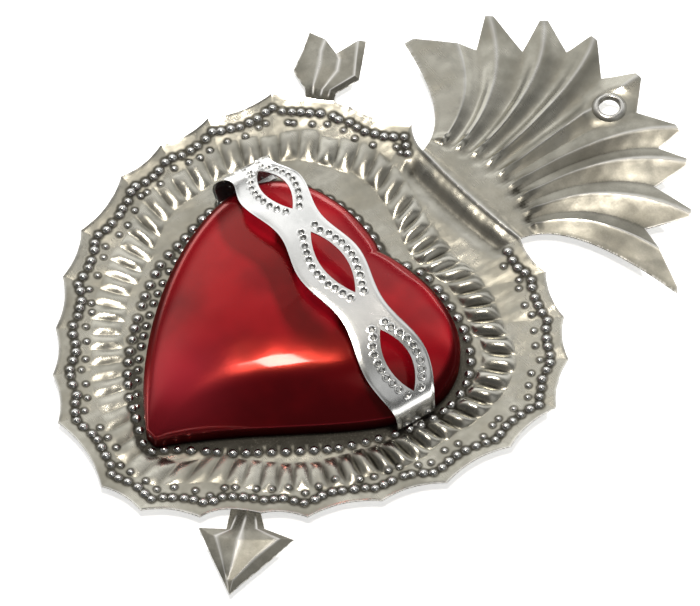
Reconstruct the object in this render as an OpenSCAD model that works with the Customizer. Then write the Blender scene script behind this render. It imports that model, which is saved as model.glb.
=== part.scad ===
// A wall ornament of embossed tin: a flaming heart laid on a scalloped plate, pierced by an arrow.
// It lies on its flat back. +Z points out of its face, +Y towards the flames, and the origin is
// the centre of the plate on the back. Every piece is bent from thin sheet.

/* [Sheet] */
// Thickness of the backing sheet
sheet_t = 0.5; // [0.3:0.05:0.8]
// Mean radius of the scalloped plate
plate_r = 62; // [58:0.5:70]
// Height that the edge of the plate curls up above its flat middle
dish_h = 2.2; // [0.5:0.1:4]
// Depth of each scallop as a share of its width
scallop_sag = 0.1; // [0.04:0.01:0.16]
// Width of the plain border outside the outer row of beads
border_w = 2.8; // [2:0.1:3.4]
// Width of the outer row of beads
bead_w = 2.4; // [1.6:0.1:2.8]
// Height of the embossed beads
bead_h = 0.9; // [0.4:0.1:1.1]
// Width of the seat round the heart's skirt that no flute reaches
seat_w = 1.2; // [0.6:0.1:2]

/* [Flutes] */
// Height of the embossed flutes
flute_h = 1.3; // [0.6:0.1:2]
// Length of a flute
flute_len = 8.6; // [6:0.2:10]
// Distance from the heart's rim to the middle of the ring of flutes
ring_off = 12.6; // [11:0.2:14]
// How much closer to the heart the ring lies beside its right lobe
side_pull = 5; // [3:0.25:5.5]
// How much closer to the heart the ring lies at its tip
tip_pull = 5.6; // [4:0.2:6]

/* [Flames] */
// Reach of the longest flames from the root of the fan
fan_reach = 59; // [54:1:72]
// Height of the pleats in the flames
pleat_h = 1.2; // [0.4:0.1:1.6]
// Height that the tips of the flames stand above the edge of the plate
fan_rise = 1; // [0:0.25:3]
// Depth of the valley between the plate and the flames
neck_dip = 0.9; // [0.3:0.1:1.2]
// Radius of the hanging hole
hole_r = 2.7; // [2:0.1:3.2]
// Width of the raised collar round the hanging hole
collar_w = 1.8; // [1:0.1:2.4]
// Height of the collar
collar_h = 2.4; // [2:0.1:3]
// Distance of the hanging hole below the top of the middle flame
hole_drop = 11.7; // [9:0.1:16]

/* [Arrow] */
// Direction in which the arrow's feathers point
arrow_a = 131.2; // [126:0.2:136]
// Reach of the arrow's point from the middle of the plate
point_reach = 77; // [70:0.5:84]
// Half width of the arrowhead across its barbs
barb_w = 12; // [8:0.5:16]
// Length of the arrowhead from its barbs to its point
head_len = 16; // [12:0.5:22]
// Reach of the feathers from the middle of the plate
feather_reach = 89; // [84:0.5:98]
// Half width of the feathers
feather_w = 8.4; // [6:0.2:11]
// Height of the crease along the arrow
crease_h = 1; // [0.4:0.1:1.8]

/* [Heart] */
// Thickness of the heart's shell
heart_t = 0.5; // [0.3:0.05:0.8]
// Half width of the heart
heart_w = 38.7; // [34:0.1:40]
// Distance from the notch to the tip
heart_len = 76; // [68:0.5:78]
// Height of the notch above the middle of the plate
notch_y = 29.6; // [27:0.2:31]
// Height of the rim above the flat back
rim_z = 4.6; // [4:0.2:7]
// Height of the top of the dome above the flat back
dome_z = 16; // [14:0.2:22]
// Angle that the heart leans from the line of the flames
heart_lean = 2.3; // [0:0.1:4]

/* [Band] */
// Thickness of the crown band
band_t = 0.5; // [0.3:0.05:0.8]
// Half width of the band at its widest
band_w = 8.5; // [7.5:0.1:9.5]
// Half width of the band at its crossings
waist_w = 6; // [5:0.1:7]
// Half width of the pierced eyes
eye_w = 3.2; // [1.5:0.1:4]
// Distance of the eyes from the band's middle line, away from the heart's tip
eye_side = 1; // [0:0.1:1.5]
// Length of a pierced eye
eye_len = 17.5; // [12:0.5:17.5]
// Distance between the middles of two eyes
eye_pitch = 28.5; // [26:0.25:29]
// Height of the top of the arch above the dome
arch_gap = 4.5; // [1.2:0.1:5.5]
// Distance that the left leg lands outside the heart
left_leg = 5; // [4.6:0.1:6.5]
// Height above the feet at which the left leg turns in
leg_turn = 3.4; // [2:0.1:5]
// How far the left leg leans in below its turn
leg_lean = 2.4; // [1.5:0.1:2.8]
// Distance that the right leg lands outside the heart
right_leg = 2; // [1.8:0.1:2.6]
// Height of the band's middle line above the middle of the plate
band_y = 12.8; // [8:0.2:15]
// Angle of the band
band_a = -7.4; // [-10:0.2:-4]

/* [Solder] */
// Radius of a spot of solder
solder_r = 1.4; // [1:0.1:1.5]
// Height of the solder inside the skirt
solder_h = 1.2; // [0.6:0.1:2]
// Thickness of the solder under the feet of the band
foot_solder = 0.6; // [0.4:0.1:1]

/* [Hidden] */

// The plate's grid: columns round it, three to a flute
flutes = 68;
cols = flutes * 3;

// The scalloped edge: direction of each cusp, and its distance outside the mean radius
cusps = [
    [1.5, -2.5], [18, 3], [30.5, 8.5], [42, 8.5], [52, 7], [63.5, 4.5],
    [112.5, 5.5], [127, 5], [144, 7.5], [159, 3], [172, 0.5], [184.5, -1], [202.5, -3],
    [216.5, -4], [231.5, -4.5], [244.5, -2.5], [257, 0.5], [276, 2], [286.5, 1], [299.5, -4],
    [326, -7.5], [345.5, -7]
];

// Columns of the plate's grid that run on into the flames, the feathers and the arrowhead
fan_c0 = 42;
fan_n = 18;
feather_c0 = 74;
head_c0 = 174;
arrow_n = 4;

// The flames, from right to left: direction of each fold from the root of the fan, and how far
// short of the full reach it ends. Even folds run up a ridge to a tip, odd ones down a groove.
fan_ends = [
    [23, 0.5], [34, -8.5], [40.5, -13], [46.5, -1.5], [56, -10.5], [61.5, -1], [68.5, -6.5],
    [72, 0], [82, -6.5], [90, 0.5], [97, -6.5], [105.5, 1.5], [110, -5], [119, 0.5],
    [121.5, -10], [133, -2], [135.5, -12], [141.5, -11], [156, -8]
];
// Which way each fold is bent: up for a ridge and down for a groove
fan_folds = [0, 1, -1, 1, -1, 1, -1, 1, -1, 1, -1, 1, -1, 1, -1, 1, -1, 1, 0];
fan_rows = 10;

function mix(a, b, u) = a + (b - a) * u;
function polar(a, r) = [r * cos(a), r * sin(a)];
function turn(p, a) = [p[0] * cos(a) - p[1] * sin(a), p[0] * sin(a) + p[1] * cos(a)];
function bezier(p, u) =
    let (v = 1 - u)
    p[0] * v * v * v + p[1] * 3 * v * v * u + p[2] * 3 * v * u * u + p[3] * u * u * u;
// Angle between two directions, and a smooth hump of height 1 that is gone at w degrees from a0
function bearing(a, b) = abs((a - b + 540) % 360 - 180);
function hump(a, a0, w) = bearing(a, a0) < w ? (1 + cos(180 * bearing(a, a0) / w)) / 2 : 0;

// The heart's outline: a lobe and a flank on each side, straight on the right and full on the left
tip_y = notch_y - heart_len;
lobe_y = notch_y - 18;
right_lobe = [[0, notch_y], [8, notch_y + 4.6], [heart_w, notch_y + 6], [heart_w, lobe_y]];
right_flank = [[heart_w, lobe_y], [heart_w, lobe_y - 15], [13, tip_y + 22], [1.6, tip_y]];
left_flank = [[-1.6, tip_y], [-24, tip_y + 14], [-heart_w, lobe_y - 16], [-heart_w, lobe_y]];
left_lobe = [[-heart_w, lobe_y], [-heart_w, notch_y + 6], [-8, notch_y + 4.6], [0, notch_y]];
curve_n = 16;
heart_x = 2.4;
heart_outline = [
    for (side = [right_lobe, right_flank, left_flank, left_lobe])
        for (i = [0:curve_n - 1])
            turn(bezier(side, i / curve_n), heart_lean) + [heart_x, 0]
];
// The dome rises from a centre below its notch
dome_c = [1.5, 6];

// Distance from c to the outline along direction a
function ray(c, a, line) =
    let (d = polar(a, 1))
    max([
        for (i = [0:len(line) - 1])
            let (
                p = line[i] - c,
                q = line[(i + 1) % len(line)] - c,
                den = d[0] * (q[1] - p[1]) - d[1] * (q[0] - p[0]),
                s = (p[0] * (q[1] - p[1]) - p[1] * (q[0] - p[0])) / den,
                e = (p[0] * d[1] - p[1] * d[0]) / den
            )
            abs(den) > 1e-9 && s > 0 && e > -1e-6 && e < 1 + 1e-6 ? s : 0
    ]);

// Lists of triangles: a grid of points seen from above, its mirror below, and the wall between
function grid_skin(g) = [
    for (j = [0:len(g) - 2]) for (i = [0:len(g[0]) - 2])
        each [[g[j][i], g[j + 1][i], g[j][i + 1]], [g[j][i + 1], g[j + 1][i], g[j + 1][i + 1]]]
];
function lower(p, t) = [p[0], p[1], p[2] - t];
function under(ts, t) = [for (q = ts) [lower(q[0], t), lower(q[2], t), lower(q[1], t)]];
function wall(a, b) = [
    for (k = [0:len(a) - 1])
        let (n = (k + 1) % len(a))
        each [[a[k], b[k], a[n]], [a[n], b[k], b[n]]]
];
module solid(ts) {
    polyhedron(
        points = [for (q = ts) each q],
        faces = [for (k = [0:len(ts) - 1]) [3 * k, 3 * k + 2, 3 * k + 1]]
    );
}

// Edge of the plate
fan_root = [1, plate_r - 5];
fan_right = [18.1, plate_r - 1];
fan_left = [-17.8, plate_r - 2.8];
neck_w = 7.4;
arrow_side = -1.1;
feather_side = -2.9;
function along_arrow(s, w) = polar(arrow_a, s) + polar(arrow_a - 90, w);
edge_at = plate_r + 5.8;
feather_neck = [
    along_arrow(edge_at, feather_side + neck_w / 2),
    along_arrow(edge_at, feather_side - neck_w / 2)
];
head_at = plate_r - 8.6;
head_neck = [
    along_arrow(-head_at, arrow_side - neck_w / 2),
    along_arrow(-head_at, arrow_side + neck_w / 2)
];
// Corners of the edge in the order of the columns, each with the column that ends there
edge_knots = concat(
    [for (c = cusps) if (c[0] < 70) [round(c[0] * cols / 360), polar(c[0], plate_r + c[1])]],
    [[fan_c0, fan_right], [fan_c0 + fan_n, fan_left]],
    [for (c = cusps) if (c[0] > 100 && c[0] < 130) [round(c[0] * cols / 360), polar(c[0], plate_r + c[1])]],
    [[feather_c0, feather_neck[0]], [feather_c0 + arrow_n, feather_neck[1]]],
    [for (c = cusps) if (c[0] > 140 && c[0] < 300) [round(c[0] * cols / 360), polar(c[0], plate_r + c[1])]],
    [[head_c0, head_neck[0]], [head_c0 + arrow_n, head_neck[1]]],
    [for (c = cusps) if (c[0] > 320) [round(c[0] * cols / 360), polar(c[0], plate_r + c[1])]]
);
function is_neck(k) = k == fan_c0 || k == feather_c0 || k == head_c0;
edge_xy = [
    for (i = [0:len(edge_knots) - 1])
        let (
            a = edge_knots[i],
            b = edge_knots[(i + 1) % len(edge_knots)],
            n = (b[0] - a[0] + cols) % cols,
            sag = is_neck(a[0]) ? 0.02 : scallop_sag,
            inward = turn(b[1] - a[1], 90)
        )
        for (m = [0:n - 1])
            let (u = m / n)
            mix(a[1], b[1], u) + inward * sag * 4 * u * (1 - u)
];
first_col = edge_knots[0][0];
function edge_point(k) = edge_xy[(k - first_col + cols) % cols];

// Rows of the plate, each a function of its column
function col_angle(k) = 360 * k / cols;
heart_r = [for (k = [0:cols - 1]) ray([0, 0], col_angle(k), heart_outline)];
function ring_r(k) =
    heart_r[k] + ring_off
    - side_pull * hump(col_angle(k), 12, 62)
    - tip_pull * hump(col_angle(k), 273, 26);
// A place inside the edge point e, drawn from along direction a towards the edge point itself
function inset(a, e, d) = mix(polar(a, norm(e)), e, 1 - 0.045 * d) * (1 - d / norm(e));
// Directions of the band's feet, where no bead is raised
foot_dirs = [10, 156];
foot_clear = 16;
function plate_point(k, j) =
    let (
        a = col_angle(k),
        e = edge_point(k),
        er = norm(e),
        seat = heart_r[k] + seat_w,
        mid = ring_r(k),
        half = min(flute_len / 2, mid - seat - 0.6, er - border_w - bead_w - 0.1 - mid),
        room = min(2.6, mid - half - seat - 0.1),
        in_neck = k > fan_c0 && k < fan_c0 + fan_n ? 1 : 0,
        crest = k % 3 == 0 ? 0 : 1,
        inner_bead = k % 3 == 1 && min([for (f = foot_dirs) bearing(a, f)]) > foot_clear ? bead_h : 0,
        outer_bead = k % 2 == 1 ? bead_h : 0,
        row = [
            [polar(a, seat * 0.5), 0],
            [polar(a, seat), 0],
            [polar(a, seat + room / 2), inner_bead * min(1, room / 1.6)],
            [polar(a, seat + room), 0],
            [polar(a, mid - half), 0],
            [polar(a, mid - half * 0.72), 0.75 * flute_h * crest],
            [polar(a, mid), flute_h * crest],
            [polar(a, mid + half * 0.72), 0.75 * flute_h * crest],
            [polar(a, mid + half), 0],
            [inset(a, e, border_w + bead_w), -neck_dip * 0.7 * in_neck],
            [inset(a, e, border_w + bead_w / 2), in_neck == 1 ? -neck_dip : outer_bead],
            [inset(a, e, border_w), -neck_dip * 0.7 * in_neck],
            [e, 0]
        ],
        p = row[j][0],
        flat_r = mid - half,
        s = max(0, (norm(p) - flat_r) / (er - flat_r))
    )
    [p[0], p[1], sheet_t + dish_h * pow(s, 1.5) + row[j][1]];
plate_rows = 13;
plate = [for (j = [0:plate_rows - 1]) [for (k = [0:cols]) plate_point(k % cols, j)]];
edge = plate[plate_rows - 1];
plate_cap = [for (k = [0:cols - 1]) [[0, 0, sheet_t], plate[0][k], plate[0][k + 1]]];

// The flames: each fold is a curve that leaves the foot upwards and bends out to its end
fan_z = sheet_t + dish_h + fan_rise;
function fan_point(i, j) =
    let (
        foot = edge[fan_c0 + i],
        end = fan_root + polar(fan_ends[i][0], fan_reach + fan_ends[i][1]),
        u = j / fan_rows,
        v = 1 - u,
        bend = [foot[0] + 0.08 * (end[0] - foot[0]), mix(foot[1], end[1], 0.72)],
        p = [foot[0], foot[1]] * v * v + bend * 2 * v * u + end * u * u,
        rise = min(1, u / 0.25)
    )
    [p[0], p[1], mix(foot[2], fan_z, sin(90 * u)) + pleat_h * fan_folds[i] * rise * 0.8];
fan = [for (j = [0:fan_rows]) [for (i = [0:fan_n]) j == 0 ? edge[fan_c0 + i] : fan_point(i, j)]];

// The ends of the arrow: rows of points given along and across it, with a crease down the middle
function arrow_grid(c0, rows) = concat(
    [[for (i = [0:arrow_n]) edge[c0 + i]]],
    [
        for (r = rows) [
            for (i = [0:arrow_n])
                let (
                    q = along_arrow(r[i][0], r[i][1]),
                    base = sheet_t + dish_h
                )
                [q[0], q[1], base + crease_h * (1 - abs(i - 2) / 2)]
        ]
    ]
);
neck_half = neck_w / 2;
barb_at = point_reach - head_len;
head_rows = [
    [for (i = [-2:2]) [-(barb_at - 1.2), arrow_side + i * neck_half / 2]],
    [for (i = [-2:2]) [-(barb_at + 1.5 * (2 - abs(i))), arrow_side + i * barb_w / 2]],
    [for (i = [-2:2]) [-point_reach, arrow_side + i * 0.4]]
];
feather_rows = [
    [for (i = [2:-1:-2]) [edge_at + 3.6, feather_side + i * neck_half / 2]],
    [for (i = [2:-1:-2]) [feather_reach - 14.5, arrow_side + i * feather_w / 2]],
    [for (i = [2:-1:-2]) [feather_reach - [6.6, 0.5, 0.8][abs(i)], arrow_side + i * feather_w / 2.2]]
];
arrowhead = arrow_grid(head_c0, head_rows);
feathers = arrow_grid(feather_c0, feather_rows);

// The cut edge of the whole sheet, once round
function side(g, i, back) =
    let (n = len(g) - 1)
    back ? [for (j = [n - 1:-1:1]) g[j][i]] : [for (j = [1:n]) g[j][i]];
function run(c0, c1) = [for (k = [c0:c1]) edge[k]];
function inner(g) = let (r = g[len(g) - 1]) [for (i = [1:len(r) - 1]) r[i]];
cut_edge = concat(
    run(0, fan_c0),
    side(fan, 0, false), inner(fan), side(fan, fan_n, true),
    run(fan_c0 + fan_n, feather_c0),
    side(feathers, 0, false), inner(feathers), side(feathers, arrow_n, true),
    run(feather_c0 + arrow_n, head_c0),
    side(arrowhead, 0, false), inner(arrowhead), side(arrowhead, arrow_n, true),
    run(head_c0 + arrow_n, cols - 1)
);
sheet_top = concat(plate_cap, grid_skin(plate), grid_skin(fan), grid_skin(arrowhead), grid_skin(feathers));

hole_at = [fan_root[0] + 2, fan_root[1] + fan_reach - hole_drop, fan_z];

module backing_sheet() {
    color("#a8a49a")
    difference() {
        union() {
            solid(concat(sheet_top, under(sheet_top, sheet_t),
                wall(cut_edge, [for (p = cut_edge) lower(p, sheet_t)])));
            translate([hole_at[0], hole_at[1], fan_z - collar_h / 2])
                cylinder(r = hole_r + collar_w, h = collar_h, $fn = 48);
        }
        translate([hole_at[0], hole_at[1], fan_z - collar_h])
            cylinder(r = hole_r, h = 2 * collar_h, $fn = 48);
    }
}

// The heart: a pillow on a short skirt. Height at share s of the way from the centre to the rim
function pillow(s) = pow(max(0, 1 - pow(s, 2.4)), 0.62);
heart_cols = 72;
heart_steps = [1, 0.985, 0.95, 0.88, 0.78, 0.64, 0.46, 0.25];
dome_r = [for (k = [0:heart_cols - 1]) ray(dome_c, 360 * k / heart_cols, heart_outline)];
function shell_point(k, s, z0, h, t) =
    let (q = dome_c + polar(360 * k / heart_cols, (dome_r[k % heart_cols] - t) * s))
    [q[0], q[1], z0 + h * pillow(s)];
function shell(t) =
    let (h = dome_z - rim_z - t)
    concat(
        [[for (k = [0:heart_cols]) let (p = shell_point(k, 1, 0, 0, t)) [p[0], p[1], sheet_t]]],
        [for (s = heart_steps) [for (k = [0:heart_cols]) shell_point(k, s, rim_z, h, t)]]
    );
function shell_cap(t) =
    let (g = shell(t), r = g[len(g) - 1])
    [for (k = [0:heart_cols - 1]) [[dome_c[0], dome_c[1], dome_z - t], r[k], r[k + 1]]];
function turned(ts) = [for (q = ts) [q[0], q[2], q[1]]];

module heart_shell() {
    outer = shell(0);
    hollow = shell(heart_t);
    color("#a01828")
    solid(concat(
        turned(grid_skin(outer)), shell_cap(0),
        grid_skin(hollow), turned(shell_cap(heart_t)),
        [
            for (k = [0:heart_cols - 1])
                each [[outer[0][k], hollow[0][k], outer[0][k + 1]],
                    [outer[0][k + 1], hollow[0][k], hollow[0][k + 1]]]
        ]
    ));
}

// The band: an arch over the dome, on its own line across the heart
band_dir = polar(band_a, 1);
band_side = polar(band_a + 90, 1);
band_mid = [0, band_y];
left_end = ray(band_mid, band_a + 180, heart_outline) + left_leg;
right_end = ray(band_mid, band_a, heart_outline) + right_leg;
foot_z = sheet_t + foot_solder;
arch_top = dome_z + arch_gap;
function arch(u) =
    let (
        end = u < 0 ? left_end : right_end,
        base = foot_z + (u < 0 ? leg_turn : 0),
        s = min(1, abs(u) / end)
    )
    base + (arch_top - base) * pow(1 - pow(s, 2.4), 1 / 2.4);
// Stations along the arch, close together where it turns down, after the left foot's tab and leg
arch_n = 80;
arch_u = [
    for (i = [0:arch_n])
        let (c = cos(180 * i / arch_n))
        c > 0 ? -left_end * pow(c, 0.9) : right_end * pow(-c, 0.9)
];
tab_end = left_end - left_leg + 0.8;
path = concat([[-tab_end, foot_z], [leg_lean - left_end, foot_z]], [for (u = arch_u) [u, arch(u)]]);
path_n = len(path) - 1;
// Distance along the path from its top, for the pattern of eyes
function total(n, i = 0) = i >= n ? 0 : norm(path[i + 1] - path[i]) + total(n, i + 1);
top_s = total(arch_n / 2 + 2);
path_s = [for (i = [0:path_n]) total(i) - top_s];
// The middle of each eye, unevenly spaced by hand, as shares of the pitch from the top
eye_marks = [-1.66, -0.92, 0.05, 1.12];
eye_lens = [0.85, 1, 1.18, 1];
eye_table = [for (n = [0:3]) [eye_marks[n] * eye_pitch, n]];
// Which eye a place is at: whole numbers in the middle of an eye, halves at the crossings
function eye_phase(s) =
    s > eye_table[3][0] ? min(3.5, 3 + (s - eye_table[3][0]) / eye_pitch) : lookup(s, eye_table);
function eye_half(s) =
    let (n = round(min(3, eye_phase(s))), d = abs(s - eye_table[n][0]) * 2 / (eye_len * eye_lens[n]))
    d < 1 ? eye_w * (1 - d * d) : 0;
// Half widths at each station of the eyes, which stop short of both feet, and of the band's edge
eyes = [for (i = [0:path_n]) i < 3 || i > path_n - 2 ? 0 : eye_half(path_s[i])];
edges = [for (s = path_s) mix(waist_w, band_w, (1 + cos(360 * eye_phase(s))) / 2)];
// A point of the band at station i and w to the side: on its outer face, or its inner one
function band_point(i, w, inside) =
    let (
        d = path[min(path_n, i + 1)] - path[max(0, i - 1)],
        q = path[i] + [d[1], -d[0]] / norm(d) * (inside ? band_t : 0),
        p = band_mid + band_dir * q[0] + band_side * w
    )
    [p[0], p[1], q[1]];
// One strand of the band, between its eyes and its edge on side v, on one of its faces
function strand(v, inside) = [
    for (i = [0:path_n])
        let (e = v * edges[i], h = eye_side + v * eyes[i])
        [band_point(i, min(e, h), inside), band_point(i, max(e, h), inside)]
];
// The cut edge along column c of a strand
function cut_side(a, b, c) = [
    for (i = [0:path_n - 1])
        each [[a[i][c], b[i][c], a[i + 1][c]], [b[i][c], b[i + 1][c], a[i + 1][c]]]
];
function eye_cut(a, b, c) = [
    for (i = [0:path_n - 1])
        if (eyes[i] + eyes[i + 1] > 0)
            each [[a[i][c], b[i][c], a[i + 1][c]], [b[i][c], b[i + 1][c], a[i + 1][c]]]
];
function end_cut(a, b, i) = [[a[i][0], a[i][1], b[i][0]], [b[i][0], a[i][1], b[i][1]]];

module crown_band() {
    near = strand(-1, false);
    far = strand(1, false);
    near_in = strand(-1, true);
    far_in = strand(1, true);
    color("#d4d4cf")
    solid(concat(
        grid_skin(near), grid_skin(far),
        turned(concat(grid_skin(near_in), grid_skin(far_in))),
        cut_side(near, near_in, 0), eye_cut(far, far_in, 0),
        turned(concat(cut_side(far, far_in, 1), eye_cut(near, near_in, 1))),
        end_cut(near, near_in, 0), end_cut(far, far_in, 0),
        turned(concat(end_cut(near, near_in, path_n), end_cut(far, far_in, path_n)))
    ));
}

// Solder in the corner inside the skirt, and under the feet of the band
solder_dirs = [-32, 40, 135, 205, 262];
module solder_spot(p, h) {
    translate([p[0], p[1], sheet_t]) cylinder(r = solder_r, h = h, $fn = 24);
}
module heart_solder() {
    color("#c4c2ba")
    intersection() {
        for (a = solder_dirs)
            solder_spot(dome_c + polar(a, ray(dome_c, a, heart_outline) - heart_t - solder_r / 2), solder_h);
        linear_extrude(height = rim_z)
            polygon([for (p = shell(heart_t)[0]) [p[0], p[1]]]);
    }
}
module band_solder() {
    color("#c4c2ba") {
        solder_spot(band_mid + band_dir * right_end, foot_solder);
        solder_spot(band_mid - band_dir * (left_end - left_leg + solder_r + 0.2), foot_solder);
    }
}

backing_sheet();
heart_shell();
crown_band();
heart_solder();
band_solder();
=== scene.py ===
import math

import bmesh
import bpy
import numpy as np
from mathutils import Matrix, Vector


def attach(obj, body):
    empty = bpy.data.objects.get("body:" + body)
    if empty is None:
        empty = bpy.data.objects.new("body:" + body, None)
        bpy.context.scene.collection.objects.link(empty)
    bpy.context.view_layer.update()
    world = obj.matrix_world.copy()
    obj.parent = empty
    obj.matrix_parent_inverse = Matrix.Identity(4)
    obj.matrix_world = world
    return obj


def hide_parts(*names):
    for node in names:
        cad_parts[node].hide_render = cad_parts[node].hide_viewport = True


# Lengths are in millimetres, from the middle of the scalloped plate on its flat back, until
# a mesh is made. +Z comes out of the face and +Y points to the flames.
MM = 0.001
SHEET = 0.5
HAND = np.random.RandomState(7)

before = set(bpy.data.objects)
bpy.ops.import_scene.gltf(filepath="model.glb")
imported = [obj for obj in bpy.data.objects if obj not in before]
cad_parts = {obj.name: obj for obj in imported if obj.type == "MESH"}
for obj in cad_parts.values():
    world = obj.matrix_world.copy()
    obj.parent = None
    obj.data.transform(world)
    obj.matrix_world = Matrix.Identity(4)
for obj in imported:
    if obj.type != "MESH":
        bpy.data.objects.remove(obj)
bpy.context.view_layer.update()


def rows(*arrays):
    """Stacks coordinate arrays as points."""
    return np.stack(np.broadcast_arrays(*arrays), axis=-1).astype(float)


def polar(a, r):
    """Point at angle a, in degrees, and distance r from the middle of the plate."""
    return rows(r * np.cos(np.radians(a)), r * np.sin(np.radians(a)))


def smooth(x, low, high):
    """Rises smoothly from 0 at low to 1 at high."""
    t = np.clip((x - low) / (high - low), 0, 1)
    return t * t * (3 - 2 * t)


def bump(x, middle, width):
    """A bell curve of height 1 round the middle."""
    return np.exp(-(((x - middle) / width) ** 2))


def ripple(x, y, size, seed):
    """A smooth uneven field from -1 to 1: the sum of seven sine waves of about that size, each way."""
    hand = np.random.RandomState(seed)
    total = np.zeros(np.broadcast(x, y).shape)
    for _ in range(7):
        a = hand.uniform(0, 2 * math.pi)
        k = 2 * math.pi / (size * hand.uniform(0.7, 1.6))
        total = total + np.sin(k * (x * math.cos(a) + y * math.sin(a)) + hand.uniform(0, 6.3))
    return total / 7


def soften(z, reach, wrap=False):
    """The running mean of a grid over a few cells both ways, carried round where the grid closes."""
    for axis in (0, 1):
        mode = "wrap" if wrap and axis == 1 else "edge"
        pad = [(0, 0), (0, 0)]
        pad[axis] = (reach, reach)
        sums = np.cumsum(np.pad(z, pad, mode=mode), axis=axis)
        n = z.shape[axis]
        low = np.take(sums, range(0, n), axis=axis)
        high = np.take(sums, range(2 * reach, n + 2 * reach), axis=axis)
        z = (high - low) / (2 * reach)
    return z


def hollows(grid, reach, depth, wrap=False):
    """Dirt that gathers where a surface lies lower than the mean round it, from 0 to 1."""
    z = grid[..., 2]
    return np.clip((soften(z, reach, wrap) - z) / depth, 0, 1)


def make(name, parts, node, finish, crease=40):
    """Joins grids (rows, columns, 3), each alone or with its dirt and painted shade and its wear and painted
    highlight from 0 to 1 and a mask of the cells to keep, into one mesh with shared corners, smooth up to the
    crease angle."""
    points, faces, dirt_and_shade, wear_and_highlight, start = [], [], [], [], 0
    for part in parts:
        given = part if isinstance(part, tuple) else (part,)
        grid, grime_and_shade, worn_and_highlit, keep = (*given, None, None, None)[:4]
        n, m = grid.shape[:2]
        index = np.arange(n * m).reshape(n, m) + start
        quads = np.stack([index[:-1, :-1], index[1:, :-1], index[1:, 1:], index[:-1, 1:]], axis=-1)
        faces.append(quads.reshape(-1, 4) if keep is None else quads[keep])
        points.append(grid.reshape(-1, 3))
        dirt_and_shade.append(np.broadcast_to(0.0 if grime_and_shade is None else grime_and_shade, (n, m)).ravel())
        wear_and_highlight.append(np.broadcast_to(0.0 if worn_and_highlit is None else worn_and_highlit, (n, m)).ravel())
        start += n * m
    points = np.concatenate(points) * MM
    faces = np.concatenate(faces)
    mesh = bpy.data.meshes.new(name)
    mesh.vertices.add(len(points))
    mesh.vertices.foreach_set("co", points.astype(np.float32).ravel())
    mesh.loops.add(faces.size)
    mesh.loops.foreach_set("vertex_index", faces.astype(np.int32).ravel())
    mesh.polygons.add(len(faces))
    mesh.polygons.foreach_set("loop_start", np.arange(0, faces.size, 4, dtype=np.int32))
    mesh.polygons.foreach_set("loop_total", np.full(len(faces), 4, dtype=np.int32))
    for label, values in (("grime_and_shade", dirt_and_shade), ("wear_and_highlight", wear_and_highlight)):
        layer = mesh.attributes.new(label, "FLOAT", "POINT")
        layer.data.foreach_set("value", np.concatenate(values).astype(np.float32))
    mesh.update()
    work = bmesh.new()
    work.from_mesh(mesh)
    bmesh.ops.remove_doubles(work, verts=work.verts, dist=2e-6)
    loose = [v for v in work.verts if not v.link_faces]
    bmesh.ops.delete(work, geom=loose, context="VERTS")
    work.to_mesh(mesh)
    work.free()
    mesh.polygons.foreach_set("use_smooth", np.ones(len(mesh.polygons), dtype=bool))
    mesh.set_sharp_from_angle(angle=math.radians(crease))
    mesh.update()
    piece = bpy.data.objects.new(name, mesh)
    bpy.context.scene.collection.objects.link(piece)
    mesh.materials.append(finish)
    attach(piece, "root")
    if node:
        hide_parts(node)


def lowered(grid, t=SHEET):
    """The underside of a sheet: its points t lower but not under the wall, turned to face down."""
    low = grid - [0, 0, t]
    low[..., 2] = np.maximum(low[..., 2], 0)
    return low[:, ::-1]


def rim(line, t=SHEET):
    """The cut edge of a sheet along a line of points, facing to the line's right."""
    low = line - [0, 0, t]
    low[..., 2] = np.maximum(low[..., 2], 0)
    return np.stack([line, low])


def refined(rough_grid, n, m):
    """A coarse grid of points drawn out to n by m straight cells in each of its own cells."""
    g = np.array(rough_grid, float)
    i = np.linspace(0, g.shape[0] - 1, (g.shape[0] - 1) * n + 1)
    j = np.linspace(0, g.shape[1] - 1, (g.shape[1] - 1) * m + 1)
    i0 = np.minimum(i.astype(int), g.shape[0] - 2)
    j0 = np.minimum(j.astype(int), g.shape[1] - 2)
    u = (i - i0)[:, None, None]
    w = (j - j0)[None, :, None]
    near = g[i0][:, j0] * (1 - w) + g[i0][:, j0 + 1] * w
    far = g[i0 + 1][:, j0] * (1 - w) + g[i0 + 1][:, j0 + 1] * w
    return near * (1 - u) + far * u


class Wire:
    """An output socket that takes arithmetic: each operator adds the Math node that works it out."""

    def __init__(self, web, socket):
        self.web = web
        self.socket = socket

    def __add__(self, other):
        return self.web.math("ADD", self, other)

    def __radd__(self, other):
        return self.web.math("ADD", other, self)

    def __sub__(self, other):
        return self.web.math("SUBTRACT", self, other)

    def __rsub__(self, other):
        return self.web.math("SUBTRACT", other, self)

    def __mul__(self, other):
        return self.web.math("MULTIPLY", self, other)

    def __rmul__(self, other):
        return self.web.math("MULTIPLY", other, self)


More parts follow.
